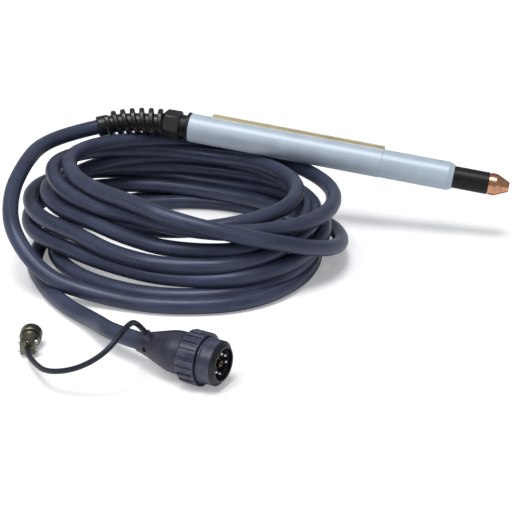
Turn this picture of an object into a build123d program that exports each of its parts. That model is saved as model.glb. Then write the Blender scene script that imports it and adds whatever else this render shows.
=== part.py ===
from build123d import *
import math
import os

# Machine plasma torch: a straight tube torch with a gear rack, lying on its own coiled lead.
# All sizes are in millimetres. +Z is up. The torch points along +X and dips towards its tip.
# The origin is on the torch axis, half way along the band of the front tube that a clamp grips.

# How the torch lies
TORCH_TILT = 6.62
AXIS_HEIGHT = 80.0
FLOOR = -AXIS_HEIGHT

# Torch tube, by distance along its axis from the origin
SLEEVE_REAR = -290.0
SEAM = -44.0
TUBE_FRONT = 45.0
CUP_FRONT = 88.0
CAP_TIP = 113.0
SLEEVE_R = 17.9
SLEEVE_BORE_R = 14.5
TUBE_R = 17.5
TUBE_BORE_R = 12.2
TUBE_MOUTH_R = 14.1
TUBE_MOUTH_DEPTH = 14.0
NOSE_LENGTH = 6.5
NOSE_R = 14.9
SPIGOT_LENGTH = 30.0
FIT = 0.02

# Gear rack, 32 pitch, in a slot of the sleeve and turned a little to the far side
RACK_MODULE = 25.4 / 32
RACK_TEETH = 88
RACK_PRESSURE_ANGLE = 20.0
RACK_WIDTH = 6.4
RACK_ROLL = 20.0
RACK_SEAT_R = 16.2
RACK_PITCH_R = 21.2
RACK_SCREWS = 3
RACK_SCREW_R = 1.25
RACK_SCREW_HEAD_R = 2.2
RACK_SCREW_HEAD = 1.7

# Front end
BODY_REAR = -60.0
BODY_SPIGOT_R = 10.45
BODY_FRONT = 62.0
BODY_SOCKET_R = 4.85
CARTRIDGE_R = 8.8
CARTRIDGE_FRONT = 78.0
ORING_R = 0.6
CUP_REAR = 36.0
CUP_R = 13.5
CUP_BORE_R = 10.5
CUP_MOUTH_R = 11.7
CUP_MOUTH_DEPTH = 9.0
SHOULDER_GAP = 0.35
CAP_SHANK_R = 11.66
CAP_BARREL = 8.7
CAP_FACE_R = 5.8
CAP_ORIFICE_R = 2.4
CAP_FLUTES = 6
CAP_FLUTE_WIDTH = 1.8
CAP_FLUTE_DEPTH = 0.9
ELECTRODE_R = 4.8

# Lead, its rear cap and its relief nut
LEAD_D = 18.5
LEAD_END = -282.0
LEAD_CORNER = -352.0
LEAD_BEND = 24.0
LEAD_BEND_ROLL = 50.0
LEAD_CLEARANCE = 0.2
CAP_FLANGE_R = 18.75
CAP_NECK_R = 14.2
CAP_THREAD_R = 12.5
NUT_FLATS = 31.5
NUT_REAR = -321.0
NUT_FRONT = -302.3
NUT_ROLL = 39.0
RELIEF_START = -320.5
HELIX_PITCH = 11.4
HELIX_TURNS = 6.3
HELIX_START = 4.8
HELIX_POINTS_PER_TURN = 8
RIB_HEIGHT = 6.4
RIB_FOOT = 7.4
RIB_SHOULDER = 6.0
RIB_CREST = 3.6
RIB_R_AT_NUT = 13.5
RIB_R_AT_END = 13.2
END_SLEEVE_R = 13.0
END_SLEEVE = 15.0

# Coil of lead, as one closed ring that leans outwards at its foot
COIL_X = -283.3
COIL_Y = -137.5
COIL_HEIGHT = 104.0
COIL_FOOT = (192.0, 160.0)
COIL_CREST = (168.0, 146.0)
COIL_CREST_SHIFT = 22.0
COIL_WALL = 50.0
COIL_ROLL = 3.9
COIL_GAP = 0.35

# Quick connector, by distance along its axis from the rear of its boot
CONNECTOR_REAR = (-228.5, -413.4)
CONNECTOR_TURN = -16.9
RING_REAR = 57.0
RING_FRONT = 79.0
RING_R = 27.1
RING_ROOT_R = 25.0
RING_BORE_R = 23.2
RING_RIBS = 20
RING_RIB_WIDTH = 4.7
BARREL_REAR = 57.5
BARREL_CHAMFER = 94.3
BARREL_FRONT = 98.5
BARREL_R = 22.8
BARREL_HOLLOW_R = 19.4
BARREL_BORE_R = 16.4
BARREL_COLLAR_R = 24.2
INSERT_STEP = 88.0
INSERT_FACE = 90.0
PIN_CIRCLE_R = 10.1
PIN_PLACES = 8
PIN_LENGTH = 6.0
CENTRE_CONTACT_R = 3.5
PINS_FITTED = (0, 1, 2, 5, 6)
PIN_R = 1.6
PIN_HOLE_R = 2.8
BOOT_R = 21.8
BOOT_REAR_R = 10.5
BOOT_FRONT = 56.5
NECK_R = 18.5
LEAD_IN_BOOT = 33.0
LEAD_BEHIND_BOOT = 30.0
EXIT_BASE = (17.3, -7.0, 10.7)
EXIT_WAY = (-0.38, -0.32, 0.868)
EXIT_R = 4.6
EXIT_LENGTH = 8.0

# Control cable and its small plug, by distance along the plug's axis from its rear
CABLE_D = 5.6
PLUG_REAR = (-345.5, -425.5)
PLUG_TURN = 104.0
PLUG_R = 11.5
CLAMP_LENGTH = 9.0
SHELL_R = 8.4
SHELL_FRONT = 35.5
COUPLING_REAR = 23.5
COUPLING_FRONT = 35.0
COUPLING_BORE_R = 8.8
COUPLING_THREAD_R = 10.2
COUPLING_LIP = 27.4
COUPLING_KNURLS = 24


# Solids of revolution and rods about X
def turned(*outline):
    profile = make_face(Polyline(*outline, close=True))
    return revolve(Plane.XZ * profile, Axis.X)


def rod(start, end, radius):
    return turned((start, 0), (start, radius), (end, radius), (end, 0))


def ring(start, end, radius, bore):
    return turned((start, bore), (start, radius), (end, radius), (end, bore))


def radial_rod(along, roll, inner, outer, radius):
    stem = Pos(along, 0, (inner + outer) / 2) * Cylinder(radius, outer - inner)
    return Rot(roll, 0, 0) * stem


def in_torch(shape):
    return Rot(0, TORCH_TILT, 0) * shape


def in_connector(shape):
    x, y = CONNECTOR_REAR
    return Pos(x, y, FLOOR + RING_R) * Rot(0, 0, CONNECTOR_TURN) * shape


def in_plug(shape):
    x, y = PLUG_REAR
    return Pos(x, y, FLOOR + PLUG_R) * Rot(0, 0, PLUG_TURN) * shape


# Torch tube
def positioning_sleeve():
    edge = 0.8
    wall = turned(
        (SLEEVE_REAR, SLEEVE_BORE_R),
        (SLEEVE_REAR, SLEEVE_R - edge),
        (SLEEVE_REAR + edge, SLEEVE_R),
        (SEAM - edge, SLEEVE_R),
        (SEAM, SLEEVE_R - edge),
        (SEAM, SLEEVE_BORE_R),
    )
    length = rack_length()
    slot = Box(length + FIT, RACK_WIDTH + 2 * FIT, SLEEVE_R)
    slot = Pos(SEAM - length / 2, 0, RACK_SEAT_R + SLEEVE_R / 2) * slot
    wall -= Rot(-RACK_ROLL, 0, 0) * slot
    for along in rack_screw_places():
        wall -= radial_rod(along, -RACK_ROLL, SLEEVE_BORE_R - 1, SLEEVE_R, RACK_SCREW_R)
    return wall


def mounting_tube():
    spigot_r = SLEEVE_BORE_R - FIT
    return turned(
        (SEAM - SPIGOT_LENGTH, TUBE_BORE_R),
        (SEAM - SPIGOT_LENGTH, spigot_r),
        (SEAM, spigot_r),
        (SEAM, TUBE_R),
        (TUBE_FRONT - NOSE_LENGTH, TUBE_R),
        (TUBE_FRONT, NOSE_R),
        (TUBE_FRONT, TUBE_MOUTH_R),
        (TUBE_FRONT - TUBE_MOUTH_DEPTH, TUBE_MOUTH_R),
        (TUBE_FRONT - TUBE_MOUTH_DEPTH, TUBE_BORE_R),
    )


# Gear rack and its screws
def rack_length():
    return RACK_TEETH * math.pi * RACK_MODULE


def rack_screw_places():
    pitch = math.pi * RACK_MODULE
    first = SEAM - rack_length() + 4 * pitch
    last = SEAM - 4 * pitch
    step = (last - first) / (RACK_SCREWS - 1)
    return [first + step * i for i in range(RACK_SCREWS)]


def gear_rack():
    pitch = math.pi * RACK_MODULE
    slope = math.tan(math.radians(RACK_PRESSURE_ANGLE))
    crest = pitch / 4 - RACK_MODULE * slope
    foot = pitch / 4 + RACK_MODULE * slope
    top = RACK_PITCH_R + RACK_MODULE
    root = RACK_PITCH_R - RACK_MODULE
    start = SEAM - rack_length()
    outline = [(SEAM, RACK_SEAT_R), (start, RACK_SEAT_R), (start, root)]
    for tooth in range(RACK_TEETH):
        middle = start + (tooth + 0.5) * pitch
        outline += [(middle - foot, root), (middle - crest, top)]
        outline += [(middle + crest, top), (middle + foot, root)]
    outline.append((SEAM, root))
    bar = extrude(Plane.XZ * make_face(Polyline(*outline, close=True)), RACK_WIDTH / 2, both=True)
    seat = root - RACK_SCREW_HEAD - 0.2
    for along in rack_screw_places():
        bar -= radial_rod(along, 0, RACK_SEAT_R - 1, top + 1, RACK_SCREW_R + 0.15)
        bar -= radial_rod(along, 0, seat, top + 1, RACK_SCREW_HEAD_R + 0.15)
    return Rot(-RACK_ROLL, 0, 0) * bar


def rack_screws():
    seat = RACK_PITCH_R - RACK_MODULE - RACK_SCREW_HEAD - 0.2
    screws = []
    for along in rack_screw_places():
        head = radial_rod(along, 0, seat, seat + RACK_SCREW_HEAD, RACK_SCREW_HEAD_R)
        shank = radial_rod(along, 0, SLEEVE_BORE_R, seat, RACK_SCREW_R - 0.01)
        socket = Pos(along, 0, seat + RACK_SCREW_HEAD) * extrude(RegularPolygon(1.1, 6), -1.0)
        screws.append(Rot(-RACK_ROLL, 0, 0) * (head + shank - socket))
    return Compound(screws)


# Torch body and the consumables inside the shield cup
def torch_body():
    body_r = TUBE_BORE_R - FIT
    groove = (37.6, 40.2)
    shell = turned(
        (BODY_REAR, 0),
        (BODY_REAR, body_r),
        (TUBE_FRONT - TUBE_MOUTH_DEPTH, body_r),
        (TUBE_FRONT - TUBE_MOUTH_DEPTH, BODY_SPIGOT_R),
        (groove[0], BODY_SPIGOT_R),
        (groove[0], BODY_SPIGOT_R - 1.2),
        (groove[1], BODY_SPIGOT_R - 1.2),
        (groove[1], BODY_SPIGOT_R),
        (BODY_FRONT, BODY_SPIGOT_R),
        (BODY_FRONT, BODY_SOCKET_R),
        (BODY_FRONT - 16, BODY_SOCKET_R),
        (BODY_FRONT - 16, 0),
    )
    return shell - rod(BODY_REAR - 1, BODY_REAR + 18, 4.42)


def body_oring():
    loop = Torus(BODY_SPIGOT_R - 1.2 + ORING_R, ORING_R)
    return Pos(38.9, 0, 0) * Rot(0, 90, 0) * loop


def electrode():
    return turned(
        (BODY_FRONT - 16, 0),
        (BODY_FRONT - 16, ELECTRODE_R),
        (88.0, ELECTRODE_R),
        (90.5, ELECTRODE_R - 2.2),
        (90.5, 0),
    )


def start_cartridge():
    sleeve = ring(BODY_FRONT, CARTRIDGE_FRONT, CARTRIDGE_R, 5.2)
    for index in range(4):
        sleeve -= radial_rod(73.0, 90 * index + 45, 4.0, 10.0, 0.9)
    return sleeve


def tip():
    return turned(
        (CARTRIDGE_FRONT, 5.3),
        (CARTRIDGE_FRONT, CARTRIDGE_R),
        (83.0, CARTRIDGE_R),
        (84.0, 8.0),
        (88.0, 7.6),
        (101.0, 4.0),
        (103.5, 3.6),
        (103.5, 0.8),
        (98.0, 0.8),
        (91.5, 4.4),
        (88.5, 5.3),
    )


def shield_cup():
    edge = 0.7
    return turned(
        (CUP_REAR, CUP_BORE_R),
        (CUP_REAR, CUP_R - edge),
        (CUP_REAR + edge, CUP_R),
        (CUP_FRONT - edge, CUP_R),
        (CUP_FRONT, CUP_R - edge),
        (CUP_FRONT, CUP_MOUTH_R),
        (CUP_FRONT - CUP_MOUTH_DEPTH, CUP_MOUTH_R),
        (CUP_FRONT - CUP_MOUTH_DEPTH, CUP_BORE_R),
    )


def shield_cap():
    base = CUP_FRONT + SHOULDER_GAP
    barrel = base + CAP_BARREL
    rear = CUP_FRONT - CUP_MOUTH_DEPTH + 1.2
    shell = turned(
        (rear, 9.3),
        (rear, CAP_SHANK_R),
        (base, CAP_SHANK_R),
        (base, CUP_R - 0.4),
        (base + 0.4, CUP_R),
        (barrel, CUP_R),
        (CAP_TIP, CAP_FACE_R),
        (CAP_TIP, CAP_ORIFICE_R),
        (CAP_TIP - 2.5, CAP_ORIFICE_R),
        (CAP_TIP - 3.5, 3.4),
        (95.5, 9.3),
    )
    deep = CAP_FLUTE_DEPTH
    flute = Polyline(
        (base + 1.2, CUP_R + 2),
        (base + 1.2, CUP_R - deep),
        (barrel, CUP_R - deep),
        (CAP_TIP + 0.5, CAP_FACE_R - deep),
        (CAP_TIP + 0.5, CUP_R + 2),
        close=True,
    )
    cut = extrude(Plane.XZ * make_face(flute), CAP_FLUTE_WIDTH / 2, both=True)
    for index in range(CAP_FLUTES):
        shell -= Rot(360 / CAP_FLUTES * index + 10, 0, 0) * cut
    return shell


# Conductors between the lead and the torch body
def power_tube():
    return ring(LEAD_END + 0.1, BODY_REAR + 17.9, 4.4, 2.6)


def pilot_wire():
    return Pos(0, 7.1, 0) * rod(LEAD_END + 0.1, BODY_REAR - 0.1, 1.7)


# Rear cap, seal and relief nut
def rear_cap():
    bore = LEAD_D / 2 + LEAD_CLEARANCE
    edge = 0.6
    return turned(
        (SLEEVE_REAR + 18, bore),
        (SLEEVE_REAR + 18, SLEEVE_BORE_R - FIT),
        (SLEEVE_REAR, SLEEVE_BORE_R - FIT),
        (SLEEVE_REAR, CAP_FLANGE_R - edge),
        (SLEEVE_REAR - edge, CAP_FLANGE_R),
        (SLEEVE_REAR - 3.6 + edge, CAP_FLANGE_R),
        (SLEEVE_REAR - 3.6, CAP_FLANGE_R - edge),
        (SLEEVE_REAR - 3.6, CAP_NECK_R),
        (NUT_FRONT + 0.1, CAP_NECK_R),
        (NUT_FRONT + 0.1, CAP_THREAD_R),
        (-314.0, CAP_THREAD_R),
        (-314.0, bore),
    )


def gland_seal():
    return ring(-319.9, -314.1, 12.3, LEAD_D / 2 + 0.05)


def torch_point(x, y, z):
    tilt = math.radians(TORCH_TILT)
    return (x * math.cos(tilt) + z * math.sin(tilt), y, z * math.cos(tilt) - x * math.sin(tilt))


def above_floor(x, y, height):
    return (x, y, FLOOR + height)


def gland_points():
    """The lead's way from inside the torch, through its bend relief and down to the coil."""
    roll = math.radians(LEAD_BEND_ROLL)
    bend = math.radians(LEAD_BEND)
    run = LEAD_END - LEAD_CORNER
    return [
        torch_point(LEAD_END, 0, 0),
        torch_point(LEAD_CORNER, 0, 0),
        torch_point(
            LEAD_CORNER - run * math.cos(bend),
            -run * math.sin(bend) * math.sin(roll),
            -run * math.sin(bend) * math.cos(roll),
        ),
        above_floor(-456, -84, 109),
        above_floor(-456, -147, 105),
        above_floor(-450, -211, 90),
        above_floor(-424, -266, 66),
        above_floor(-375, -293, 27),
        above_floor(-312, -292, 11),
    ]


def relief_line():
    """The lead's middle line through the bend relief, in the torch's own directions."""
    points = gland_points()
    radii = run_radii(points)[:2]
    return Rot(0, -TORCH_TILT, 0) * FilletPolyline(*points[:4], radius=radii)


def on_bend(line, length):
    """Point, way along, way across and side way at a length from the relief's start."""
    roll = math.radians(LEAD_BEND_ROLL)
    inward = Vector(0, -math.sin(roll), -math.cos(roll))
    share = (LEAD_END - RELIEF_START + length) / line.length
    along = line % share
    across = (inward - along * inward.dot(along)).normalized()
    return line @ share, along, across, along.cross(across)


def relief_helix(line):
    count = round(HELIX_TURNS * HELIX_POINTS_PER_TURN)
    points = []
    for index in range(count + 1):
        share = index / count
        point, along, across, side = on_bend(line, HELIX_START + share * HELIX_TURNS * HELIX_PITCH)
        turn = 2 * math.pi * HELIX_TURNS * share
        radius = RIB_R_AT_NUT + (RIB_R_AT_END - RIB_R_AT_NUT) * share
        points.append(point + across * (radius * math.cos(turn)) + side * (radius * math.sin(turn)))
    path = Spline(*points)
    start = on_bend(line, HELIX_START)
    rib = Polyline(
        (-RIB_HEIGHT / 2, -RIB_FOOT / 2),
        (RIB_HEIGHT / 2 - 1.2, -RIB_SHOULDER / 2),
        (RIB_HEIGHT / 2, -RIB_CREST / 2),
        (RIB_HEIGHT / 2, RIB_CREST / 2),
        (RIB_HEIGHT / 2 - 1.2, RIB_SHOULDER / 2),
        (-RIB_HEIGHT / 2, RIB_FOOT / 2),
        close=True,
    )
    section = Plane(origin=path @ 0, x_dir=start[2], z_dir=path % 0) * make_face(rib)
    return sweep(section, path=path, is_frenet=True)


def relief_nut():
    corner = NUT_FLATS / 2 / math.cos(math.radians(30))
    hexagon = extrude(RegularPolygon(corner, 6), NUT_FRONT - NUT_REAR + 5)
    hexagon = Pos(NUT_REAR - 5, 0, 0) * Rot(0, 90, 0) * Rot(0, 0, NUT_ROLL) * hexagon
    dome = turned(
        (NUT_REAR - 5, 0),
        (NUT_REAR - 5, 11.6),
        (NUT_REAR - 3, 14.0),
        (NUT_REAR + 0.5, corner - 0.4),
        (NUT_FRONT - 1.5, corner),
        (NUT_FRONT, corner - 1.2),
        (NUT_FRONT, 0),
    )
    inside = turned(
        (NUT_FRONT + 1, 0),
        (NUT_FRONT + 1, 12.8),
        (NUT_REAR + 0.8, 12.8),
        (NUT_REAR - 2.0, 9.7),
        (NUT_REAR - 6, 9.7),
        (NUT_REAR - 6, 0),
    )
    nut = (hexagon & dome) - inside
    line = relief_line()
    end = HELIX_START + HELIX_TURNS * HELIX_PITCH
    point, along, across, side = on_bend(line, end + END_SLEEVE / 2 - 2.5)
    half = END_SLEEVE / 2
    sleeve = turned(
        (-half, 9.7),
        (-half, END_SLEEVE_R - 0.8),
        (-half + 0.8, END_SLEEVE_R),
        (half - 1.4, END_SLEEVE_R),
        (half, END_SLEEVE_R - 1.0),
        (half, 9.7),
    )
    sleeve = Plane(origin=point, x_dir=along, z_dir=side) * sleeve
    return nut + (relief_helix(line) + sleeve)


# Cords: straight runs joined by arcs as large as the runs allow
def run_radii(points, name=None):
    radii = []
    for before, here, after in zip(points, points[1:], points[2:]):
        one = Vector(*here) - Vector(*before)
        two = Vector(*after) - Vector(*here)
        half = math.radians(one.get_angle(two) / 2)
        radii.append(0.45 * min(one.length, two.length) / math.tan(half))
    if name:
        print(name, "arc radii", [round(r) for r in radii])
    return radii


def cord(points, diameter, name):
    radii = run_radii(points, name)
    path = FilletPolyline(*[tuple(p) for p in points], radius=radii)
    start = Plane(origin=path @ 0, z_dir=path % 0)
    solid = sweep(start * Circle(diameter / 2), path=path)
    section = math.pi * diameter**2 / 4
    print(name, "volume share", round(solid.volume / (section * path.length), 4), "length", round(path.length))
    return solid


def lead_gland_run():
    return cord(gland_points(), LEAD_D, "lead_gland_run")


def connector_point(along):
    turn = math.radians(CONNECTOR_TURN)
    x, y = CONNECTOR_REAR
    return above_floor(x + along * math.cos(turn), y + along * math.sin(turn), RING_R)


def lead_connector_run():
    rest = LEAD_D / 2 + 0.15
    points = [
        above_floor(-422, -196, rest),
        above_floor(-420, -260, rest),
        above_floor(-386, -310, rest),
        above_floor(-340, -336, rest),
        above_floor(-299, -360, 14),
        connector_point(-LEAD_BEHIND_BOOT),
        connector_point(LEAD_IN_BOOT),
    ]
    return cord(points, LEAD_D, "lead_connector_run")


def lead_coil():
    crest = FLOOR + COIL_HEIGHT
    outer = loft([
        Pos(COIL_X, COIL_Y, FLOOR) * Ellipse(*COIL_FOOT),
        Pos(COIL_X + COIL_CREST_SHIFT, COIL_Y, crest) * Ellipse(*COIL_CREST),
    ])
    inner = loft([
        Pos(COIL_X, COIL_Y, FLOOR) * Ellipse(*[reach - COIL_WALL for reach in COIL_FOOT]),
        Pos(COIL_X + COIL_CREST_SHIFT, COIL_Y, crest) * Ellipse(*[reach - COIL_WALL for reach in COIL_CREST]),
    ])
    above = Pos(0, 0, 300 - CAP_FLANGE_R - COIL_GAP) * Box(1600, 1600, 600)
    return outer - inner - in_torch(Rot(-COIL_ROLL, 0, 0) * above)


# Quick connector
def exit_rod(start, end, radius):
    """A rod along the way the control cable leaves the boot."""
    way = Vector(*EXIT_WAY).normalized()
    middle = Vector(*EXIT_BASE) + way * ((start + end) / 2)
    return Plane(origin=middle, z_dir=way) * Cylinder(radius, end - start)


def connector_boot():
    skin = turned(
        (0, 0),
        (0, BOOT_REAR_R - 0.7),
        (0.8, BOOT_REAR_R),
        (6, BOOT_REAR_R + 0.7),
        (12, BOOT_REAR_R + 2.3),
        (36, BOOT_R - 1.6),
        (41, BOOT_R - 0.5),
        (46, BOOT_R),
        (BOOT_FRONT, BOOT_R),
        (BOOT_FRONT, 0),
    )
    solid = skin + exit_rod(-1, EXIT_LENGTH, EXIT_R)
    solid -= rod(-1, LEAD_IN_BOOT, LEAD_D / 2 + LEAD_CLEARANCE)
    solid -= rod(40, BOOT_FRONT + 1, NECK_R + 0.1)
    solid -= exit_rod(0, EXIT_LENGTH + 1, CABLE_D / 2 + 0.1)
    for side in (-1, 1):
        solid -= boot_screw_hole(side)
    return solid


def boot_screw_hole(side):
    return Pos(14, side * 14.0, 0) * Rot(90, 0, 0) * Cylinder(2.6, 5.0)


def boot_screws():
    screws = []
    for side in (-1, 1):
        head = Pos(14, side * 12.5, 0) * Rot(90, 0, 0) * Cylinder(2.5, 2.0)
        slot = Pos(14, side * 13.5, 0) * Box(5.2, 1.0, 0.8)
        screws.append(head - slot)
    return Compound(screws)


def connector_lock_ring():
    body = turned(
        (RING_REAR, RING_BORE_R + 0.5),
        (RING_REAR, RING_ROOT_R - 0.6),
        (RING_REAR + 1.5, RING_ROOT_R),
        (RING_FRONT - 1.4, RING_ROOT_R),
        (RING_FRONT - 1.4, RING_R),
        (RING_FRONT - 0.6, RING_R),
        (RING_FRONT, RING_R - 0.6),
        (RING_FRONT, RING_BORE_R),
        (RING_REAR + 2, RING_BORE_R),
    )
    rib = turned(
        (RING_REAR + 0.8, RING_ROOT_R - 1.0),
        (RING_REAR + 2.0, RING_R - 0.7),
        (RING_REAR + 3.2, RING_R),
        (RING_FRONT - 1.0, RING_R),
        (RING_FRONT - 1.0, RING_ROOT_R - 1.0),
    )
    bar = Pos((RING_REAR + RING_FRONT) / 2, 0, RING_R - 3.9) * Box(24, RING_RIB_WIDTH, 8)
    bar = fillet(bar.edges().filter_by(Axis.X).group_by(Axis.Z)[-1], 1.5)
    for index in range(RING_RIBS):
        body += rib & (Rot(360 / RING_RIBS * index + 6, 0, 0) * bar)
    return body


def connector_barrel():
    wall = turned(
        (BARREL_REAR, BARREL_HOLLOW_R - 1),
        (BARREL_REAR, BARREL_R),
        (RING_FRONT + 0.5, BARREL_R),
        (RING_FRONT + 0.5, BARREL_COLLAR_R),
        (RING_FRONT + 2.5, BARREL_COLLAR_R),
        (RING_FRONT + 3.5, BARREL_R),
        (BARREL_CHAMFER, BARREL_R),
        (BARREL_FRONT - 0.6, BARREL_BORE_R + 2.2),
        (BARREL_FRONT, BARREL_BORE_R + 1.6),
        (BARREL_FRONT, BARREL_BORE_R),
        (INSERT_STEP, BARREL_BORE_R),
        (INSERT_STEP, BARREL_HOLLOW_R),
        (BARREL_REAR + 4, BARREL_HOLLOW_R),
        (BARREL_REAR + 4, BARREL_HOLLOW_R - 1),
    )
    neck = ring(44.0, BARREL_REAR + 4, NECK_R, 15.5)
    return wall + neck


def pin_places():
    step = 2 * math.pi / PIN_PLACES
    start = math.radians(193)
    for index in range(PIN_PLACES):
        angle = start - step * index
        yield PIN_CIRCLE_R * math.cos(angle), PIN_CIRCLE_R * math.sin(angle)


def connector_insert():
    block = rod(BARREL_REAR + 4.1, INSERT_STEP - FIT, BARREL_HOLLOW_R - FIT)
    block += rod(INSERT_STEP - 1, INSERT_FACE, BARREL_BORE_R - FIT)
    block -= rod(70.0, INSERT_FACE + 1, CENTRE_CONTACT_R)
    for y, z in pin_places():
        block -= Pos(0, -y, z) * rod(INSERT_FACE - 6, INSERT_FACE + 1, PIN_HOLE_R)
    return block


def contact_pins():
    places = list(pin_places())
    pins = []
    for index in PINS_FITTED:
        y, z = places[index]
        pin = turned(
            (INSERT_FACE - 6, 0),
            (INSERT_FACE - 6, PIN_R),
            (INSERT_FACE + PIN_LENGTH - 1, PIN_R),
            (INSERT_FACE + PIN_LENGTH, PIN_R - 0.9),
            (INSERT_FACE + PIN_LENGTH, 0),
        )
        pins.append(Pos(0, -y, z) * pin)
    return Compound(pins)


def centre_contact():
    tip = INSERT_FACE + PIN_LENGTH
    return turned(
        (70.0, 1.8),
        (70.0, CENTRE_CONTACT_R - FIT),
        (tip - 0.8, CENTRE_CONTACT_R - FIT),
        (tip, CENTRE_CONTACT_R - 0.7),
        (tip, 1.8),
    )


def face_seal():
    return ring(INSERT_FACE, INSERT_FACE + 2.5, BARREL_BORE_R - 0.03, 14.4)


# Control cable
def plug_point(along):
    turn = math.radians(PLUG_TURN)
    x, y = PLUG_REAR
    return above_floor(x + along * math.cos(turn), y + along * math.sin(turn), PLUG_R)


def boot_exit_point(along):
    local = Vector(*EXIT_BASE) + Vector(*EXIT_WAY) * along
    x, y = CONNECTOR_REAR
    return tuple(Vector(x, y, FLOOR + RING_R) + local.rotate(Axis.Z, CONNECTOR_TURN))


def control_cable():
    points = [
        boot_exit_point(0),
        boot_exit_point(24),
        above_floor(-226, -459, 68.5),
        above_floor(-236, -491, 54),
        above_floor(-266, -494, 33.5),
        above_floor(-301, -487, 22),
        above_floor(-328, -454, 13),
        plug_point(-7),
        plug_point(8),
    ]
    return cord(points, CABLE_D, "control_cable")


# Small plug on the control cable
def plug_clamp_saddles():
    saddles = []
    for side in (-1, 1):
        block = Pos(CLAMP_LENGTH / 2, side * 4.2, 0) * Box(CLAMP_LENGTH - 0.4, 7.2, 15.0)
        block = fillet(block.edges().filter_by(Axis.X).group_by(Axis.Y)[-1 if side > 0 else 0], 1.6)
        block -= rod(-1, 12, CABLE_D / 2 + 0.1)
        for height in (-5.2, 5.2):
            block -= Pos(CLAMP_LENGTH / 2, 0, height) * Rot(90, 0, 0) * Cylinder(1.3, 40)
        saddles.append(block)
    return Compound(saddles)


def plug_clamp_screws():
    screws = []
    for height in (-5.2, 5.2):
        shank = Pos(CLAMP_LENGTH / 2, 0.4, height) * Rot(90, 0, 0) * Cylinder(1.25, 19.6)
        head = Pos(CLAMP_LENGTH / 2, -8.8, height) * Rot(90, 0, 0) * Cylinder(2.4, 2.0)
        slot = Pos(CLAMP_LENGTH / 2, -9.8, height) * Box(0.8, 1.0, 5.0)
        screws.append(head + shank - slot)
    return Compound(screws)


def plug_backshell():
    return turned(
        (CLAMP_LENGTH, CABLE_D / 2 + 0.2),
        (CLAMP_LENGTH, 6.4),
        (12.0, 7.4),
        (17.0, 9.0),
        (19.0, 10.0),
        (COUPLING_REAR - 0.5, 10.0),
        (COUPLING_REAR - 0.5, SHELL_R + FIT),
        (19.9, SHELL_R + FIT),
        (19.9, 6.6),
        (13.0, 5.0),
    )


def plug_shell():
    return turned(
        (20.0, 6.6),
        (20.0, SHELL_R),
        (27.9, SHELL_R),
        (27.9, 9.8),
        (29.1, 9.8),
        (29.1, SHELL_R),
        (SHELL_FRONT, SHELL_R),
        (SHELL_FRONT, 7.4),
        (24.0, 7.4),
        (24.0, 6.6),
    )


def plug_coupling_ring():
    body = turned(
        (COUPLING_REAR, COUPLING_BORE_R),
        (COUPLING_REAR, PLUG_R - 0.8),
        (COUPLING_REAR + 0.8, PLUG_R),
        (COUPLING_FRONT - 0.8, PLUG_R),
        (COUPLING_FRONT, PLUG_R - 0.8),
        (COUPLING_FRONT, COUPLING_THREAD_R),
        (COUPLING_LIP, COUPLING_THREAD_R),
        (COUPLING_LIP, COUPLING_BORE_R),
    )
    for index in range(COUPLING_KNURLS):
        notch = Pos(29.2, 0, PLUG_R + 0.35) * Rot(45, 0, 0) * Box(8.6, 1.1, 1.1)
        body -= Rot(360 / COUPLING_KNURLS * index, 0, 0) * notch
    return body


def plug_insert():
    return rod(24.1, 32.0, 7.38)


def plug_contacts():
    contacts = []
    for index in range(4):
        angle = math.radians(90 * index + 45)
        pin = rod(32.0, 35.0, 0.8)
        contacts.append(Pos(0, 3.6 * math.cos(angle), 3.6 * math.sin(angle)) * pin)
    return Compound(contacts)


TORCH_PARTS = [
    positioning_sleeve,
    mounting_tube,
    gear_rack,
    rack_screws,
    torch_body,
    body_oring,
    electrode,
    start_cartridge,
    tip,
    shield_cup,
    shield_cap,
    power_tube,
    pilot_wire,
    rear_cap,
    gland_seal,
    relief_nut,
]
CONNECTOR_PARTS = [
    connector_boot,
    boot_screws,
    connector_lock_ring,
    connector_barrel,
    connector_insert,
    contact_pins,
    centre_contact,
    face_seal,
]
PLUG_PARTS = [
    plug_clamp_saddles,
    plug_clamp_screws,
    plug_backshell,
    plug_shell,
    plug_coupling_ring,
    plug_insert,
    plug_contacts,
]
CORD_PARTS = [
    lead_gland_run,
    lead_coil,
    lead_connector_run,
    control_cable,
]


def main():
    os.makedirs("parts", exist_ok=True)
    groups = [
        (TORCH_PARTS, in_torch),
        (CONNECTOR_PARTS, in_connector),
        (PLUG_PARTS, in_plug),
        (CORD_PARTS, lambda shape: shape),
    ]
    for parts, place in groups:
        for make in parts:
            export_step(place(make()), f"parts/{make.__name__}.step")


main()
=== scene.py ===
import math

import bmesh
import bpy
from mathutils import Euler, Matrix, Vector


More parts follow.
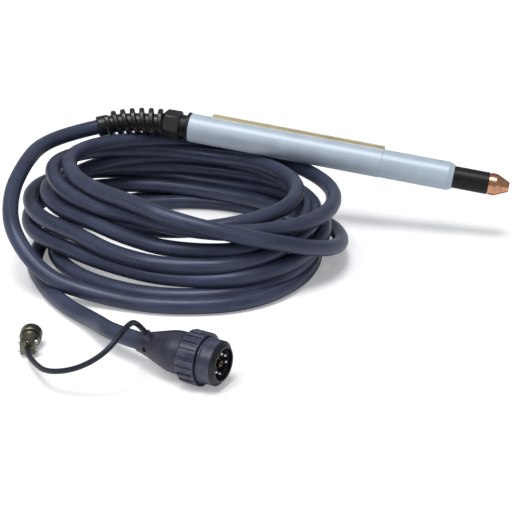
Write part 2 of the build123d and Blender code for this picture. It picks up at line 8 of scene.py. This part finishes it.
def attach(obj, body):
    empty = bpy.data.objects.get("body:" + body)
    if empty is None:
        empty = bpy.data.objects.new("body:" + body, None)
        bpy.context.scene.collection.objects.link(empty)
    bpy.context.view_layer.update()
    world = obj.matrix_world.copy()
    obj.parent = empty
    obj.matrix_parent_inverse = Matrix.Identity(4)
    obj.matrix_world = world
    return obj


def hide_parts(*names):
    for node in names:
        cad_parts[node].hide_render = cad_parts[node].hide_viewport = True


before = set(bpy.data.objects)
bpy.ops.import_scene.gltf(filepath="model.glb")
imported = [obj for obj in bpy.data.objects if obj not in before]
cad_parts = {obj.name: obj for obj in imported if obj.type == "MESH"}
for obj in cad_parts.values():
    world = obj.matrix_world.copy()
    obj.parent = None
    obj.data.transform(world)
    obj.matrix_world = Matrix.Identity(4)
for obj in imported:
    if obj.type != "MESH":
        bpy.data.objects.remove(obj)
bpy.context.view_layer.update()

bl_info = {
    "name": "Machine Plasma Torch",
    "version": (1, 0, 0),
    "blender": (4, 5, 0),
    "location": "View3D > Sidebar > Plasma Torch",
    "description": "Dresses a machine plasma torch with its coiled lead, connectors and finishes",
    "category": "Object",
}

# Places and sizes are in millimetres up to the point where Blender takes them, in metres.
MM = 0.001

# Where things lie. +X runs along the torch, +Z is up, and the origin is on the torch axis, half
# way along the band that a clamp grips.
TORCH_TILT = math.radians(6.62)
FLOOR = -80.0
CONNECTOR_REAR = Vector((-228.5, -413.4, FLOOR + 27.1))
CONNECTOR_TURN = math.radians(-16.9)
PLUG_REAR = Vector((-345.5, -425.5, FLOOR + 11.5))
PLUG_TURN = math.radians(104.0)
BOOT_EXIT_BASE = Vector((17.3, -7.0, 10.7))
BOOT_EXIT_WAY = Vector((-0.38, -0.32, 0.868))

# The camera, the floor and the softbox
CAMERA_PLACE = Vector((157.3, -1578.9, 585.4))
CAMERA_TURN = Euler((math.radians(66.0), 0.0, math.radians(12.85)))
CAMERA_LENS = 96.0
FLOOR_REACH = 6000.0
FLOOR_GLOW = 0.27
SOFTBOX_PLACE = Vector((-750.0, -950.0, 950.0))
SOFTBOX_AIM = Vector((-250.0, -200.0, 0.0))
SOFTBOX_SIZE = 500.0


def torch_point(along, across=0.0, up=0.0):
    """A point by its distance along the torch axis from the origin."""
    return Matrix.Rotation(TORCH_TILT, 3, "Y") @ Vector((along, across, up))


def connector_point(along, across=0.0, up=0.0):
    """A point by its distance along the lead connector's axis from its rear end."""
    return CONNECTOR_REAR + Matrix.Rotation(CONNECTOR_TURN, 3, "Z") @ Vector((along, across, up))


def plug_point(along, across=0.0, up=0.0):
    """A point by its distance along the control plug's axis from its rear end."""
    return PLUG_REAR + Matrix.Rotation(PLUG_TURN, 3, "Z") @ Vector((along, across, up))


def boot_exit_point(along):
    """A point on the line by which the control cable leaves the connector boot."""
    return connector_point(*(BOOT_EXIT_BASE + BOOT_EXIT_WAY * along))


def floor_point(x, y, height):
    """A point by its height above the floor."""
    return Vector((x, y, FLOOR + height))


# ---------------------------------------------------------------- sizes and colours


def size_property(name, description, default):
    return bpy.props.FloatProperty(
        name=name, description=description, default=default, min=0.0, unit="LENGTH", precision=5
    )


def colour_property(name, description, default):
    return bpy.props.FloatVectorProperty(
        name=name, description=description, default=default, size=3, min=0.0, max=1.0, subtype="COLOR"
    )


class TorchSizes(bpy.types.PropertyGroup):
    lead_diameter: size_property("Lead diameter", "Outside diameter of the torch lead", 18.5 * MM)
    lead_length: size_property("Lead length", "Length of the torch lead, gland to connector", 8.45)
    cable_diameter: size_property("Cable diameter", "Outside diameter of the control cable", 5.6 * MM)
    cable_length: size_property("Cable length", "Length of the control cable, boot to plug", 0.242)


class TorchColours(bpy.types.PropertyGroup):
    tube: colour_property("Tube", "Satin metal of the sleeve and mounting tube", (0.49, 0.57, 0.66))
    rack: colour_property("Rack", "Pale metal of the gear rack", (0.72, 0.60, 0.36))
    steel: colour_property("Steel", "Screws and bright steel", (0.56, 0.56, 0.57))
    brass: colour_property("Brass", "Turned brass inside the torch", (0.75, 0.56, 0.28))
    copper: colour_property("Copper", "Polished copper of the shield cap and tip", (0.75, 0.38, 0.23))
    black: colour_property("Black moulding", "Torch body, cup and rear cap", (0.007, 0.007, 0.008))
    relief: colour_property("Relief rubber", "Bend relief and its nut", (0.008, 0.008, 0.011))
    connector: colour_property("Connector", "Moulding of the lead connector", (0.026, 0.028, 0.050))
    lead: colour_property("Lead jacket", "Slate blue jacket of the lead", (0.040, 0.047, 0.084))
    cable: colour_property("Cable jacket", "Dark jacket of the control cable", (0.010, 0.012, 0.018))
    shell: colour_property("Plug shell", "Olive nickel plate of the control plug", (0.20, 0.19, 0.14))
    silver: colour_property("Contacts", "Silver plate of the contacts", (0.86, 0.85, 0.82))
    bronze: colour_property("Centre contact", "Dull bronze of the centre contact", (0.16, 0.11, 0.07))
    dark_steel: colour_property("Boot screws", "Blackened screws of the boot", (0.020, 0.020, 0.024))
    insert: colour_property("Inserts", "Black inserts that hold the contacts", (0.008, 0.008, 0.009))
    seal: colour_property("Seals", "Rubber of the seals", (0.010, 0.010, 0.010))
    floor: colour_property("Floor", "Studio floor", (0.86, 0.86, 0.87))


class TorchLights(bpy.types.PropertyGroup):
    overhead: bpy.props.FloatProperty(
        name="Overhead", description="Strength of the light from above", default=1.85, min=0.0
    )
    front: bpy.props.FloatProperty(
        name="Front softbox",
        description="Power of the light at the front left",
        default=4.0,
        unit="POWER",
    )
    room: bpy.props.FloatProperty(
        name="Room",
        description="Strength of the light from all round",
        default=0.33,
        subtype="FACTOR",
    )


# ---------------------------------------------------------------- shader maths


class Value:
    """A node socket that takes part in Python expressions."""

    def __init__(self, finish, socket):
        self.finish = finish
        self.socket = socket

    def maths(self, operation, *values):
        settings = {"operation": operation}
        return self.finish.node("ShaderNodeMath", settings, dict(enumerate(values)))[0]

    def __add__(self, other):
        return self.maths("ADD", self, other)

    def __sub__(self, other):
        return self.maths("SUBTRACT", self, other)

    def __rsub__(self, other):
        return self.maths("SUBTRACT", other, self)

    def __mul__(self, other):
        return self.maths("MULTIPLY", self, other)

    __radd__ = __add__
    __rmul__ = __mul__

    def sine(self):
        return self.maths("SINE", self)

    def step(self, low, high):
        """0 below low, 1 above high, and a smooth rise between."""
        settings = {"interpolation_type": "SMOOTHSTEP"}
        return self.finish.node("ShaderNodeMapRange", settings, {0: self, 1: low, 2: high})[0]


class Finish:
    """A procedural material round one Principled shader."""

    def __init__(self, name, colour, **constants):
        self.material = bpy.data.materials.new(name)
        self.material.use_nodes = True
        self.tree = self.material.node_tree
        self.tree.nodes.clear()
        self.shader = self.tree.nodes.new("ShaderNodeBsdfPrincipled")
        output = self.tree.nodes.new("ShaderNodeOutputMaterial")
        self.tree.links.new(self.shader.outputs[0], output.inputs["Surface"])
        self.colour = tuple(colour)
        self.set("Base Color", (*self.colour, 1.0))
        for socket, value in constants.items():
            self.set(socket.replace("_", " "), value)

    def node(self, kind, settings=None, inputs=None):
        """Adds a node: its settings first, then the values or links of its sockets."""
        node = self.tree.nodes.new(kind)
        for name, value in (settings or {}).items():
            setattr(node, name, value)
        for name, value in (inputs or {}).items():
            if isinstance(value, Value):
                self.tree.links.new(value.socket, node.inputs[name])
            else:
                node.inputs[name].default_value = value
        return [Value(self, socket) for socket in node.outputs]

    def set(self, socket, value):
        if isinstance(value, Value):
            self.tree.links.new(value.socket, self.shader.inputs[socket])
        else:
            self.shader.inputs[socket].default_value = value

    def place(self, stretch=(1.0, 1.0, 1.0), turn=(0.0, 0.0, 0.0)):
        """The piece's own coordinates, turned and then stretched."""
        coordinates = self.node("ShaderNodeTexCoord")[3]
        turned = self.node("ShaderNodeMapping", {}, {"Vector": coordinates, "Rotation": turn})[0]
        return self.node("ShaderNodeMapping", {}, {"Vector": turned, "Scale": stretch})[0]

    def along(self, stretch=(1.0, 1.0, 1.0)):
        """Coordinates that follow a cord: along it, then round it."""
        coordinates = self.node("ShaderNodeUVMap", {"uv_map": "UVMap"})[0]
        return self.node("ShaderNodeMapping", {}, {"Vector": coordinates, "Scale": stretch})[0]

    def noise(self, vector, scale, detail=3.0, roughness=0.55):
        values = {"Vector": vector, "Scale": scale, "Detail": detail, "Roughness": roughness}
        return self.node("ShaderNodeTexNoise", {}, values)[0]

    def axes(self, vector):
        return self.node("ShaderNodeSeparateXYZ", {}, {0: vector})

    def mix(self, factor, first, second):
        """A colour between two others."""
        values = {0: factor, 6: self.rgba(first), 7: self.rgba(second)}
        return self.node("ShaderNodeMix", {"data_type": "RGBA"}, values)[2]

    @staticmethod
    def rgba(colour):
        return colour if isinstance(colour, Value) else (*tuple(colour)[:3], 1.0)

    def shade(self, amount):
        """The finish's own colour, made darker or lighter."""
        return tuple(min(1.0, channel * amount) for channel in self.colour)

    def bump(self, height, distance, strength=1.0):
        values = {"Height": height, "Distance": distance, "Strength": strength}
        self.set("Normal", self.node("ShaderNodeBump", {}, values)[0])


TURN_WITH_TORCH = (0.0, -TORCH_TILT, 0.0)


def satin_metal(name, colour, metallic, roughness):
    """Fine lines along the torch, a soft mottle, and small handling marks."""
    finish = Finish(name, colour, Metallic=metallic)
    lines = finish.noise(finish.place((12.0, 900.0, 900.0), TURN_WITH_TORCH), 1.0, 2.0)
    mottle = finish.noise(finish.place(turn=TURN_WITH_TORCH), 42.0, 4.0, 0.6)
    marks = finish.noise(finish.place(turn=TURN_WITH_TORCH), 420.0, 2.0).step(0.66, 0.74)
    tone = 0.5 * lines + 0.5 * mottle
    colour = finish.mix(tone.step(0.30, 0.70), finish.shade(0.88), finish.shade(1.10))
    finish.set("Base Color", finish.mix(marks * 0.35, colour, finish.shade(0.70)))
    finish.set("Roughness", roughness - 0.08 + 0.16 * mottle + 0.08 * marks)
    finish.bump(lines * 0.6 + mottle, 0.04 * MM, 0.5)
    return finish.material


def turned_metal(name, colour, roughness, turn=TURN_WITH_TORCH, worn=0.75):
    """Rings left by the cutting tool round the axis, and a little tarnish."""
    finish = Finish(name, colour, Metallic=1.0)
    along = finish.axes(finish.place(turn=turn))[0]
    rings = (along * 16000.0 + 3.0 * finish.noise(finish.place(), 60.0)).sine()
    tarnish = finish.noise(finish.place(), 130.0, 4.0, 0.6)
    finish.set("Base Color", finish.mix(tarnish.step(0.40, 0.75), finish.colour, finish.shade(worn)))
    finish.set("Roughness", roughness + 0.05 * rings + 0.16 * tarnish.step(0.45, 0.80))
    finish.bump(rings, 0.01 * MM, 0.6)
    return finish.material


def moulding(name, colour, roughness=0.38, sheen=0.5):
    """Fine spark grain, a slow change of gloss, and a trace of dust."""
    finish = Finish(name, colour, Specular_IOR_Level=sheen)
    fine = finish.noise(finish.place(), 2600.0, 2.0)
    slow = finish.noise(finish.place(), 70.0, 3.0)
    dusty = finish.noise(finish.place(), 190.0, 5.0, 0.65).step(0.55, 0.80)
    grey = tuple(channel + 0.05 for channel in finish.colour)
    base = finish.mix(slow.step(0.35, 0.70), finish.shade(0.85), finish.shade(1.20))
    finish.set("Base Color", finish.mix(dusty * 0.10, base, grey))
    finish.set("Roughness", roughness - 0.06 + 0.14 * slow + 0.12 * dusty)
    finish.bump(fine, 0.03 * MM, 0.6)
    return finish.material


def lit_moulding(name, colour, roughness, rear, front):
    """The connector's band with a painted highlight, in painted patches, paler and glossier than the
    black edges at its rear and front ends, with fine lines round it."""
    finish = Finish(name, colour)
    from_connector = {
        "Vector": finish.node("ShaderNodeTexCoord")[3],
        "Location": CONNECTOR_REAR * MM,
        "Rotation": (0.0, 0.0, CONNECTOR_TURN),
    }
    place = finish.node("ShaderNodeMapping", {"vector_type": "TEXTURE"}, from_connector)[0]
    along = finish.axes(place)[0]
    fade = 0.8
    from_rear = along.step((rear - fade) * MM, (rear + fade) * MM)
    past_front = along.step((front - fade) * MM, (front + fade) * MM)
    band = from_rear - past_front
    # Painted highlight in patches over the band, which are also a little rougher.
    highlight_patches = finish.noise(place, 120.0, 4.0, 0.6).step(0.40, 0.68)
    lines = (along * 9000.0).sine()
    # Painted highlight: the band is painted 1.5 to 2.6 times paler than the moulding's own colour,
    # while the ends stay near-black.
    pale = finish.mix(highlight_patches, finish.shade(1.5), finish.shade(2.6))
    finish.set("Base Color", finish.mix(band, finish.shade(0.22), pale))
    finish.set("Roughness", roughness + 0.10 * highlight_patches + 0.08 * (1.0 - band))
    finish.bump(lines + finish.noise(place, 1800.0, 2.0), 0.02 * MM, 0.6)
    return finish.material


def rubber(name, colour, roughness=0.34):
    """Soft black rubber, cloudy and a little uneven."""
    finish = Finish(name, colour)
    slow = finish.noise(finish.place(), 95.0, 4.0, 0.6)
    fine = finish.noise(finish.place(), 1500.0, 2.0)
    finish.set("Base Color", finish.mix(slow.step(0.35, 0.70), finish.shade(0.80), finish.shade(1.35)))
    finish.set("Roughness", roughness + 0.16 * slow.step(0.35, 0.75))
    finish.bump(0.3 * fine + slow, 0.12 * MM, 0.5)
    return finish.material


def jacket(name, colour, length, diameter, roughness=0.27, wrinkle=0.50):
    """A rubber jacket: long shallow wrinkles that follow the cord, with painted highlight streaks
    along them, scuffs, and a dull bloom.
    """
    finish = Finish(name, colour, Specular_Tint=(0.72, 0.80, 1.0, 1.0))

    def patches(long, wide, detail, strength):
        """Noise in patches so many millimetres long and wide, along the cord and round it."""
        stretch = (length / (long * MM), math.pi * diameter / (wide * MM), 1.0)
        return finish.noise(finish.along(stretch), 1.0, detail, strength)

    wrinkles_and_highlight_streaks = patches(90.0, 6.0, 3.0, 0.6)
    ripple = patches(16.0, 18.0, 3.0, 0.55)
    bloom = finish.noise(finish.place(), 16.0, 4.0, 0.6)
    scuffs = patches(20.0, 4.0, 4.0, 0.7).step(0.62, 0.75)
    base = finish.mix(bloom.step(0.35, 0.68), finish.shade(0.78), finish.shade(1.20))
    # Painted highlight: pale streaks along the wrinkles, towards 1.9 times the jacket's own colour.
    # The wrinkles' bump and roughness are real.
    base = finish.mix(wrinkles_and_highlight_streaks.step(0.50, 0.72) * 0.55, base, finish.shade(1.90))
    finish.set("Base Color", finish.mix(scuffs * 0.45, base, finish.shade(0.45)))
    finish.set("Roughness", roughness + 0.10 * bloom + 0.10 * wrinkles_and_highlight_streaks + 0.15 * scuffs)
    finish.bump(wrinkles_and_highlight_streaks + 0.5 * ripple, wrinkle * MM, 0.8)
    return finish.material


# ---------------------------------------------------------------- making pieces


def dress(node, material):
    """Gives a CAD node its finish."""
    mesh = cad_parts[node].data
    mesh.materials.clear()
    mesh.materials.append(material)


def add_piece(name, data, material, body):
    """Puts a new piece in the scene, on its body, with its material."""
    piece = bpy.data.objects.new(name, data)
    bpy.context.scene.collection.objects.link(piece)
    data.materials.append(material)
    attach(piece, body)
    return piece


def cord_curve(name, points, diameter):
    """One smooth open spline with the route's points as its control points, in metres."""
    curve = bpy.data.curves.new(name, "CURVE")
    curve.dimensions = "3D"
    curve.bevel_depth = diameter / 2
    curve.bevel_resolution = 5
    curve.resolution_u = 12
    curve.use_fill_caps = True
    curve.twist_mode = "MINIMUM"
    spline = curve.splines.new("NURBS")
    spline.points.add(len(points) - 1)
    for control, point in zip(spline.points, points):
        control.co = (*(point * MM), 1.0)
    spline.order_u = 3
    spline.use_endpoint_u = True
    return curve


def cord_line(points):
    """The middle line of a cord, read from its spline."""
    curve = cord_curve("line", points, 0.0)
    guide = bpy.data.objects.new("line", curve)
    mesh = bpy.data.meshes.new_from_object(guide)
    line = [vertex.co.copy() for vertex in mesh.vertices]
    bpy.data.objects.remove(guide)
    bpy.data.meshes.remove(mesh)
    bpy.data.curves.remove(curve)
    return line


def sleeve_mesh(name, line, first, last):
    """A thin tube round part of a line, from one length along it to another."""
    shape = bmesh.new()
    walked = 0.0
    before = None
    for here, after in zip(line, line[1:]):
        if first <= walked <= last:
            turn = (after - here).to_track_quat("Z", "Y").to_matrix().to_4x4()
            place = Matrix.Translation(here) @ turn
            ring = bmesh.ops.create_circle(
                shape, segments=SLEEVE_SIDES, radius=SLEEVE_RADIUS * MM, matrix=place
            )["verts"]
            edges = list({edge for vertex in ring for edge in vertex.link_edges})
            if before:
                bmesh.ops.bridge_loops(shape, edges=before + edges)
            before = edges
        walked += (after - here).length
    if len(shape.faces) == 0:
        raise RuntimeError("the line is too short for its sleeve")
    bmesh.ops.recalc_face_normals(shape, faces=shape.faces)
    for face in shape.faces:
        face.smooth = True
    mesh = bpy.data.meshes.new(name)
    shape.to_mesh(mesh)
    shape.free()
    return mesh


# ---------------------------------------------------------------- the cords' ways


# The lead on its way from the gland to the coil
GLAND_RUN = [
    torch_point(-282.0),
    torch_point(-352.0),
    torch_point(-415.95, -21.81, -18.30),
    floor_point(-453.0, -84.0, 109.0),
    floor_point(-452.0, -147.0, 105.0),
    floor_point(-446.0, -211.0, 90.0),
    floor_point(-424.0, -266.0, 66.0),
    floor_point(-375.0, -293.0, 27.0),
    floor_point(-312.0, -292.0, 11.0),
]

# The lead on its way from the coil to the connector
CONNECTOR_RUN = [
    floor_point(-428.0, -196.0, 9.4),
    floor_point(-409.0, -240.0, 9.4),
    floor_point(-378.0, -284.0, 9.4),
    floor_point(-340.0, -322.0, 9.4),
    floor_point(-300.0, -352.0, 13.0),
    connector_point(-30.0),
    connector_point(33.0),
]

# The bend relief's rubber sleeve: where it begins and ends, by the length of lead from the lead's
# first point, its radius, and its sides
SLEEVE_START = 37.0
SLEEVE_END = 118.0
SLEEVE_RADIUS = 11.2
SLEEVE_SIDES = 32

# The coil: its middle, the angles where it begins and ends, and the angle from point to point,
# counted counter-clockwise from +X
COIL_MIDDLE = (-283.3, -137.5)
COIL_FIRST = 287.0
COIL_LAST = 173.0
COIL_STEP = 30.0

# Its turns, from the floor up: how far the lead is from the middle, and then how high it lies.
# Each row has eight stations, from the front: front, front right, right, back right, back, back
# left, left, front left.
STATIONS_FROM = 270.0
STATION_STEP = 45.0
COIL_TURNS = [
    ((155, 190, 190, 175, 150, 140, 135, 135), (9.4, 9.4, 9.4, 9.4, 9.4, 9.4, 12, 15)),
    ((138, 175, 195, 165, 145, 175, 190, 124), (13, 14, 28, 25, 25, 32, 38, 34)),
    ((119, 175, 205, 185, 160, 195, 185, 116), (31, 30, 43, 36, 29, 48, 60, 54)),
    ((126, 168, 188, 185, 165, 175, 160, 99), (47, 45, 57, 50, 48, 56, 70, 66)),
    ((100, 158, 174, 175, 170, 165, 135, 80), (59, 57, 57, 61, 66, 67, 68, 66)),
    ((84, 122, 165, 165, 150, 160, 150, 94), (67, 76, 80, 77, 72, 86, 98, 82)),
    ((90, 150, 210, 215, 160, 150, 122, 86), (86, 77, 71, 63, 89, 98, 108, 100)),
    ((105, 170, 230, 200, 170, 160, 154, 152), (108, 86, 25, 10, 9.4, 9.4, 9.4, 9.4)),
]


def coil_run():
    """The coil's points, one every twelfth of a turn, counter-clockwise seen from above."""
    reaches = [reach for turn in COIL_TURNS for reach in turn[0]]
    heights = [height for turn in COIL_TURNS for height in turn[1]]
    last = COIL_LAST + 360.0 * len(COIL_TURNS)
    steps = round((last - COIL_FIRST) / COIL_STEP)
    points = []
    for step in range(steps + 1):
        angle = COIL_FIRST + (last - COIL_FIRST) * step / steps
        place = (angle - STATIONS_FROM) / STATION_STEP
        station = min(int(place), len(reaches) - 2)
        share = place - station
        reach = reaches[station] + (reaches[station + 1] - reaches[station]) * share
        height = heights[station] + (heights[station + 1] - heights[station]) * share
        x = COIL_MIDDLE[0] + reach * math.cos(math.radians(angle))
        y = COIL_MIDDLE[1] + reach * math.sin(math.radians(angle))
        points.append(floor_point(x, y, height))
    return points


# The control cable, from the connector boot to its plug
CABLE_RUN = [
    boot_exit_point(0.0),
    boot_exit_point(24.0),
    floor_point(-226.0, -459.0, 68.5),
    floor_point(-236.0, -491.0, 54.0),
    floor_point(-266.0, -494.0, 33.5),
    floor_point(-301.0, -487.0, 22.0),
    floor_point(-328.0, -454.0, 13.0),
    plug_point(-7.0),
    plug_point(8.0),
]


# ---------------------------------------------------------------- operators


class TORCH_OT_camera(bpy.types.Operator):
    """Sets the camera where the torch is seen from the front, a little above"""

    bl_idname = "plasma_torch.camera"
    bl_label = "Camera"

    def execute(self, context):
        data = bpy.data.cameras.new("camera")
        data.lens = CAMERA_LENS
        data.sensor_width = 36.0
        data.clip_end = 20.0
        camera = bpy.data.objects.new("camera", data)
        camera.location = CAMERA_PLACE * MM
        camera.rotation_euler = CAMERA_TURN
        context.scene.collection.objects.link(camera)
        context.scene.camera = camera
        return {"FINISHED"}


class TORCH_OT_lead(bpy.types.Operator):
    """Lays the torch lead: from the gland, round the coil and into the connector"""

    bl_idname = "plasma_torch.lead"
    bl_label = "Lead"

    def execute(self, context):
        sizes = context.scene.torch_sizes
        colours = context.scene.torch_colours
        points = GLAND_RUN + coil_run() + CONNECTOR_RUN
        curve = cord_curve("lead", points, sizes.lead_diameter)
        finish = jacket("lead_jacket_finish", colours.lead, sizes.lead_length, sizes.lead_diameter)
        lead = add_piece("lead", curve, finish, "torch")
        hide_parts("lead_gland_run", "lead_coil", "lead_connector_run")
        return {"FINISHED"}


class TORCH_OT_control_cable(bpy.types.Operator):
    """Lays the thin control cable from the connector boot to its plug"""

    bl_idname = "plasma_torch.control_cable"
    bl_label = "Control cable"

    def execute(self, context):
        sizes = context.scene.torch_sizes
        colours = context.scene.torch_colours
        curve = cord_curve("control_lead", CABLE_RUN, sizes.cable_diameter)
        finish = jacket(
            "cable_jacket_finish", colours.cable, sizes.cable_length, sizes.cable_diameter, 0.32, 0.06
        )
        cable = add_piece("control_lead", curve, finish, "torch")
        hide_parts("control_cable")
        return {"FINISHED"}


class TORCH_OT_relief_sleeve(bpy.types.Operator):
    """Puts the rubber sleeve of the bend relief round the lead, under the ribs"""

    bl_idname = "plasma_torch.relief_sleeve"
    bl_label = "Relief sleeve"

    def execute(self, context):
        line = cord_line(GLAND_RUN + coil_run() + CONNECTOR_RUN)
        mesh = sleeve_mesh("relief_sleeve", line, SLEEVE_START * MM, SLEEVE_END * MM)
        finish = rubber("relief_sleeve_finish", context.scene.torch_colours.relief)
        add_piece("relief_sleeve", mesh, finish, "torch")
        return {"FINISHED"}


class TORCH_OT_finishes(bpy.types.Operator):
    """Gives every part of the torch and its connectors a finish"""

    bl_idname = "plasma_torch.finishes"
    bl_label = "Finishes"

    def execute(self, context):
        colours = context.scene.torch_colours
        tube = satin_metal("bare_tube_finish", colours.tube, 0.12, 0.42)
        rack = satin_metal("rack_metal_finish", colours.rack, 0.85, 0.40)
        steel = turned_metal("steel_finish", colours.steel, 0.30)
        dark_steel = turned_metal("black_screw_finish", colours.dark_steel, 0.35)
        brass = turned_metal("brass_finish", colours.brass, 0.26)
        bronze = turned_metal("centre_contact_finish", colours.bronze, 0.35)
        copper = turned_metal("copper_finish", colours.copper, 0.20)
        black = moulding("black_moulding_finish", colours.black, 0.42, sheen=0.28)
        relief = rubber("relief_rubber_finish", colours.relief, 0.30)
        connector = moulding("connector_plastic_finish", colours.connector, 0.36)
        ring = lit_moulding("lock_ring_plastic_finish", colours.connector, 0.24, 58.0, 79.0)
        barrel = lit_moulding("barrel_plastic_finish", colours.connector, 0.28, 80.6, 94.2)
        insert = moulding("insert_black_finish", colours.insert, 0.5)
        seal = rubber("seal_rubber_finish", colours.seal, 0.5)
        shell = turned_metal("plated_shell_finish", colours.shell, 0.30, (0.0, 0.0, -PLUG_TURN), 0.55)
        silver = turned_metal("contact_silver_finish", colours.silver, 0.18)
        cable = moulding("wire_jacket_finish", colours.cable, 0.4)
        parts = {
            "positioning_sleeve": tube,
            "mounting_tube": tube,
            "gear_rack": rack,
            "rack_screws": steel,
            "torch_body": black,
            "body_oring": seal,
            "electrode": copper,
            "start_cartridge": brass,
            "tip": copper,
            "shield_cup": black,
            "shield_cap": copper,
            "power_tube": brass,
            "pilot_wire": cable,
            "rear_cap": black,
            "gland_seal": seal,
            "relief_nut": relief,
            "connector_boot": connector,
            "boot_screws": dark_steel,
            "connector_lock_ring": ring,
            "connector_barrel": barrel,
            "connector_insert": insert,
            "contact_pins": silver,
            "centre_contact": bronze,
            "face_seal": seal,
            "plug_clamp_saddles": shell,
            "plug_clamp_screws": steel,
            "plug_backshell": shell,
            "plug_shell": shell,
            "plug_coupling_ring": shell,
            "plug_insert": insert,
            "plug_contacts": silver,
        }
        for node, material in parts.items():
            dress(node, material)
        return {"FINISHED"}


class TORCH_OT_stage(bpy.types.Operator):
    """Adds the pale floor, the two lamps and the light of the room"""

    bl_idname = "plasma_torch.stage"
    bl_label = "Stage"

    def execute(self, context):
        lights = context.scene.torch_lights
        colours = context.scene.torch_colours
        self.add_floor(context, colours.floor)
        self.add_overhead(context, lights.overhead)
        self.add_softbox(context, lights.front)
        self.add_room(context, lights.room)
        context.scene.view_settings.view_transform = "Standard"
        return {"FINISHED"}

    def add_floor(self, context, colour):
        """A wide pale floor, which the camera sees a little brighter than its shadows show it."""
        mesh = bpy.data.meshes.new("floor")
        shape = bmesh.new()
        bmesh.ops.create_grid(shape, x_segments=1, y_segments=1, size=FLOOR_REACH * MM)
        bmesh.ops.translate(shape, vec=(0.0, 0.0, FLOOR * MM), verts=shape.verts)
        shape.to_mesh(mesh)
        shape.free()
        finish = Finish("floor_finish", colour, Roughness=0.9, Emission_Strength=1.0)
        camera_ray = finish.node("ShaderNodeLightPath")[0]
        finish.set("Emission Color", finish.mix(camera_ray, (0.0, 0.0, 0.0), (FLOOR_GLOW,) * 3))
        mesh.materials.append(finish.material)
        floor = bpy.data.objects.new("floor", mesh)
        context.scene.collection.objects.link(floor)

    def add_overhead(self, context, strength):
        """A wide even light from above, a little in front and to the left."""
        data = bpy.data.lights.new("overhead", "SUN")
        data.energy = strength
        data.angle = math.radians(26.0)
        light = bpy.data.objects.new("overhead", data)
        light.rotation_euler = (math.radians(12.0), math.radians(-3.0), 0.0)
        context.scene.collection.objects.link(light)

    def add_softbox(self, context, power):
        """A weak softbox at the front left."""
        data = bpy.data.lights.new("front", "AREA")
        data.energy = power
        data.size = SOFTBOX_SIZE * MM
        light = bpy.data.objects.new("front", data)
        light.location = SOFTBOX_PLACE * MM
        light.rotation_euler = (SOFTBOX_AIM - SOFTBOX_PLACE).to_track_quat("-Z", "Y").to_euler()
        context.scene.collection.objects.link(light)

    def add_room(self, context, strength):
        """Even light from all round, behind which the camera sees plain white."""
        world = bpy.data.worlds.new("room")
        world.use_nodes = True
        tree = world.node_tree
        tree.nodes.clear()
        path = tree.nodes.new("ShaderNodeLightPath")
        mix = tree.nodes.new("ShaderNodeMixShader")
        output = tree.nodes.new("ShaderNodeOutputWorld")
        tree.links.new(path.outputs["Is Camera Ray"], mix.inputs[0])
        looks = [((0.93, 0.96, 1.0, 1.0), strength), ((1.0, 1.0, 1.0, 1.0), 1.0)]
        for socket, (colour, power) in zip((1, 2), looks):
            background = tree.nodes.new("ShaderNodeBackground")
            background.inputs["Color"].default_value = colour
            background.inputs["Strength"].default_value = power
            tree.links.new(background.outputs[0], mix.inputs[socket])
        tree.links.new(mix.outputs[0], output.inputs[0])
        context.scene.world = world


OPERATORS = [
    TORCH_OT_camera,
    TORCH_OT_lead,
    TORCH_OT_control_cable,
    TORCH_OT_relief_sleeve,
    TORCH_OT_finishes,
    TORCH_OT_stage,
]


class TORCH_PT_panel(bpy.types.Panel):
    bl_label = "Plasma Torch"
    bl_idname = "TORCH_PT_panel"
    bl_space_type = "VIEW_3D"
    bl_region_type = "UI"
    bl_category = "Plasma Torch"

    def draw(self, context):
        for group in ("torch_sizes", "torch_colours", "torch_lights"):
            settings = getattr(context.scene, group)
            box = self.layout.box()
            for name in settings.__annotations__:
                box.prop(settings, name)
        for operator in OPERATORS:
            self.layout.operator(operator.bl_idname)


GROUPS = {"torch_sizes": TorchSizes, "torch_colours": TorchColours, "torch_lights": TorchLights}
CLASSES = [*GROUPS.values(), *OPERATORS, TORCH_PT_panel]


def register():
    for cls in CLASSES:
        bpy.utils.register_class(cls)
    for name, group in GROUPS.items():
        setattr(bpy.types.Scene, name, bpy.props.PointerProperty(type=group))


def unregister():
    for name in GROUPS:
        delattr(bpy.types.Scene, name)
    for cls in reversed(CLASSES):
        bpy.utils.unregister_class(cls)


def main():
    register()
    bpy.ops.plasma_torch.camera()
    bpy.ops.plasma_torch.lead()
    bpy.ops.plasma_torch.control_cable()
    bpy.ops.plasma_torch.relief_sleeve()
    bpy.ops.plasma_torch.finishes()
    bpy.ops.plasma_torch.stage()


if __name__ == "__main__":
    main()
